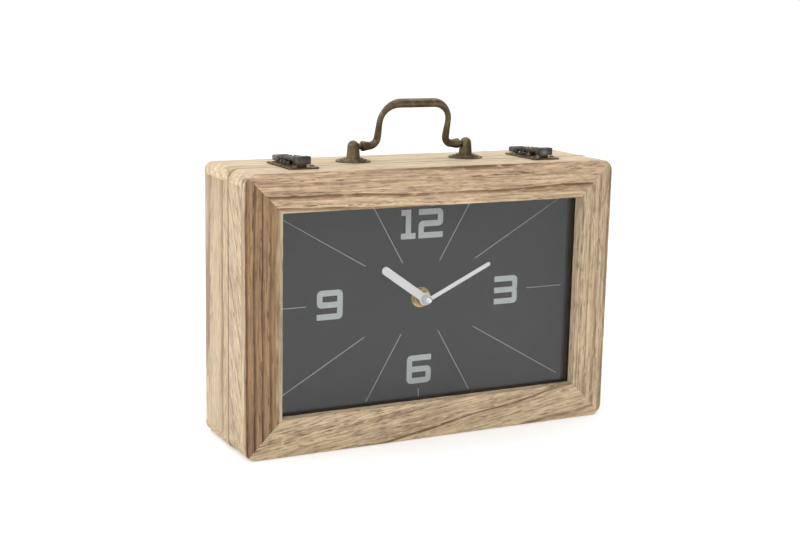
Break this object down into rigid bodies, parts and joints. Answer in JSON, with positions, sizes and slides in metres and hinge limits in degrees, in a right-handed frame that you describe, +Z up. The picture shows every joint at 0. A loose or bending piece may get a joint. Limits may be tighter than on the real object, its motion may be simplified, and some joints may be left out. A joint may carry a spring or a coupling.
{
  "type": "mantel clock",
  "caption": "Battery table clock in a suitcase-shaped wooden case with a picture-frame front, grey dial, draw latches and a bail handle on top.",
  "frame": {"origin": "centre of the footprint, on the surface the case stands on", "axes": "+X to the right as the dial is read, +Y from the dial to the back of the case, +Z up"},
  "size_m": [0.24, 0.066, 0.199],
  "materials": {
    "wood_case": "clear satin, open grain",
    "wood_frame": "clear satin, open grain",
    "glass": "polished",
    "black_board": "matt",
    "dial_grey": "satin",
    "dial_white": "satin",
    "steel": "plated",
    "black_plastic": "fine texture",
    "brass": "turned",
    "white_plastic": "moulded",
    "hand_white": "satin",
    "chrome": "polished",
    "dark_plastic": "moulded",
    "copper": "lacquered wire",
    "green_board": "solder mask",
    "battery_shell": "printed sleeve",
    "bronze": "antiqued, dark"
  },
  "bodies": {
    "front_case": {"frame_top": "wood_frame", "frame_bottom": "wood_frame", "frame_left": "wood_frame", "frame_right": "wood_frame", "front_top": "wood_case", "front_bottom": "wood_case", "front_left": "wood_case", "front_right": "wood_case", "glass_pane": "glass", "dial_surround": "black_board", "dial_board": "dial_grey", "dial_markings": "dial_white", "dial_screws": "steel", "movement_housing": "black_plastic", "movement_cover": "black_plastic", "centre_bush": "brass", "dial_washer": "brass", "dial_nut": "brass", "stator": "steel", "coil": "copper", "circuit_board": "green_board", "quartz_crystal": "steel", "battery": "battery_shell", "battery_contacts": "steel", "latch_strikes": "bronze", "latch_screws_front": "bronze", "hinge_leaves_front": "brass", "hinge_screws_front": "brass"},
    "back_case": {"back_top": "wood_case", "back_bottom": "wood_case", "back_left": "wood_case", "back_right": "wood_case", "back_panel": "wood_case", "handle_posts": "bronze", "handle_rosettes": "bronze", "handle_nuts": "steel", "latch_bases": "bronze", "latch_pins": "bronze", "latch_screws_back": "bronze", "hinge_leaves_back": "brass", "hinge_pins": "brass", "hinge_screws_back": "brass"},
    "handle": {"handle_bail": "bronze"},
    "lever_left": {"latch_lever_left": "bronze"},
    "lever_right": {"latch_lever_right": "bronze"},
    "loop_left": {"latch_loop_left": "bronze"},
    "loop_right": {"latch_loop_right": "bronze"},
    "minute_set": {"minute_arbor": "steel", "minute_hand": "hand_white", "hand_cap": "chrome"},
    "hour_set": {"hour_wheel": "white_plastic", "hour_hand": "hand_white"},
    "motion_set": {"motion_wheel": "white_plastic", "setting_knob": "black_plastic"},
    "centre_gear": {"centre_wheel": "brass"},
    "third_gear": {"third_wheel": "white_plastic"},
    "second_gear": {"second_wheel": "white_plastic"},
    "reduction_gear": {"reduction_wheel": "white_plastic"},
    "rotor_set": {"rotor": "dark_plastic"}
  },
  "joints": [
    {"name": "case_opening", "type": "hinge", "parent": "front_case", "child": "back_case", "pos_m": [0, -0.0065, 0.0022], "axis": [-1, 0, 0], "range_deg": [0, 90]},
    {"name": "handle_swing", "type": "hinge", "parent": "back_case", "child": "handle", "pos_m": [0, 0.006, 0.1709], "axis": [1, 0, 0], "range_deg": [-118, 86]},
    {"name": "lever_left_turn", "type": "hinge", "parent": "back_case", "child": "lever_left", "pos_m": [-0.08, -0.002, 0.1653], "axis": [1, 0, 0], "range_deg": [0, 120]},
    {"name": "loop_left_turn", "type": "hinge", "parent": "lever_left", "child": "loop_left", "pos_m": [-0.08, 0.003, 0.1659], "axis": [1, 0, 0], "range_deg": [-140, 0]},
    {"name": "lever_right_turn", "type": "hinge", "parent": "back_case", "child": "lever_right", "pos_m": [0.08, -0.002, 0.1653], "axis": [1, 0, 0], "range_deg": [0, 120]},
    {"name": "loop_right_turn", "type": "hinge", "parent": "lever_right", "child": "loop_right", "pos_m": [0.08, 0.003, 0.1659], "axis": [1, 0, 0], "range_deg": [-140, 0]},
    {"name": "minute_spin", "type": "hinge", "parent": "front_case", "child": "minute_set", "pos_m": [0, 0, 0.081], "axis": [0, 1, 0], "continuous": true},
    {"name": "hour_spin", "type": "hinge", "parent": "front_case", "child": "hour_set", "pos_m": [0, 0, 0.081], "axis": [0, 1, 0], "continuous": true},
    {"name": "motion_spin", "type": "hinge", "parent": "front_case", "child": "motion_set", "pos_m": [-0.00586, 0, 0.08799], "axis": [0, 1, 0], "continuous": true},
    {"name": "second_spin", "type": "hinge", "parent": "front_case", "child": "second_gear", "pos_m": [0.01143, 0, 0.09222], "axis": [0, 1, 0], "continuous": true},
    {"name": "third_spin", "type": "hinge", "parent": "front_case", "child": "third_gear", "pos_m": [0.00743, 0, 0.08529], "axis": [0, 1, 0], "continuous": true},
    {"name": "centre_spin", "type": "hinge", "parent": "front_case", "child": "centre_gear", "pos_m": [0, 0, 0.081], "axis": [0, 1, 0], "continuous": true},
    {"name": "reduction_spin", "type": "hinge", "parent": "front_case", "child": "reduction_gear", "pos_m": [0.00565, 0, 0.09556], "axis": [0, 1, 0], "continuous": true},
    {"name": "rotor_spin", "type": "hinge", "parent": "front_case", "child": "rotor_set", "pos_m": [-0.00063, 0, 0.09666], "axis": [0, 1, 0], "continuous": true}
  ],
  "couplings": [
    {"joint": "loop_left_turn", "follows": "lever_left_turn", "ratio": -1.15},
    {"joint": "loop_right_turn", "follows": "lever_right_turn", "ratio": -1.15},
    {"joint": "hour_spin", "follows": "minute_spin", "ratio": 0.083333},
    {"joint": "motion_spin", "follows": "minute_spin", "ratio": -0.33333},
    {"joint": "third_spin", "follows": "second_spin", "ratio": -0.125},
    {"joint": "centre_spin", "follows": "second_spin", "ratio": 0.016667},
    {"joint": "reduction_spin", "follows": "second_spin", "ratio": -5},
    {"joint": "rotor_spin", "follows": "second_spin", "ratio": 30}
  ]
}
